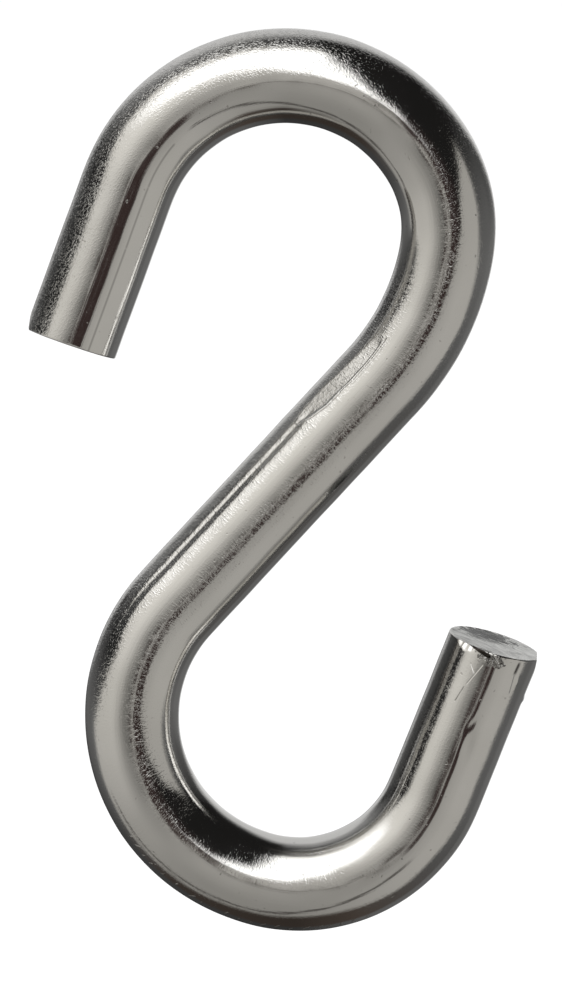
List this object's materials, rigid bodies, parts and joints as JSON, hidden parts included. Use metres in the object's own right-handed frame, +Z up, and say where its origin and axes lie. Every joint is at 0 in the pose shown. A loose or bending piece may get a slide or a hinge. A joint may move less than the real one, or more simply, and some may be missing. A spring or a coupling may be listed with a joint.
{
  "type": "s hook",
  "caption": "S-shaped hook bent from round steel wire, to hang a ring, chain or handle from a rail, a bar or another ring.",
  "frame": {"origin": "inside of the upper bend at its highest point, where the rail or ring that carries the hook bears; the lower bend's bearing point is straight below it", "axes": "+Z up along the line of the load, from the lower bearing point to the upper one; +X towards the lower bend's free end, the upper one's being on the -X side; the wire's centreline lies in the plane Y = 0, and -Y is the front"},
  "size_m": [0.0264, 0.005, 0.0482],
  "materials": {
    "wire": "bright zinc-nickel plating, slightly dulled"
  },
  "bodies": {
    "root": {"hook": "wire"}
  },
  "joints": []
}
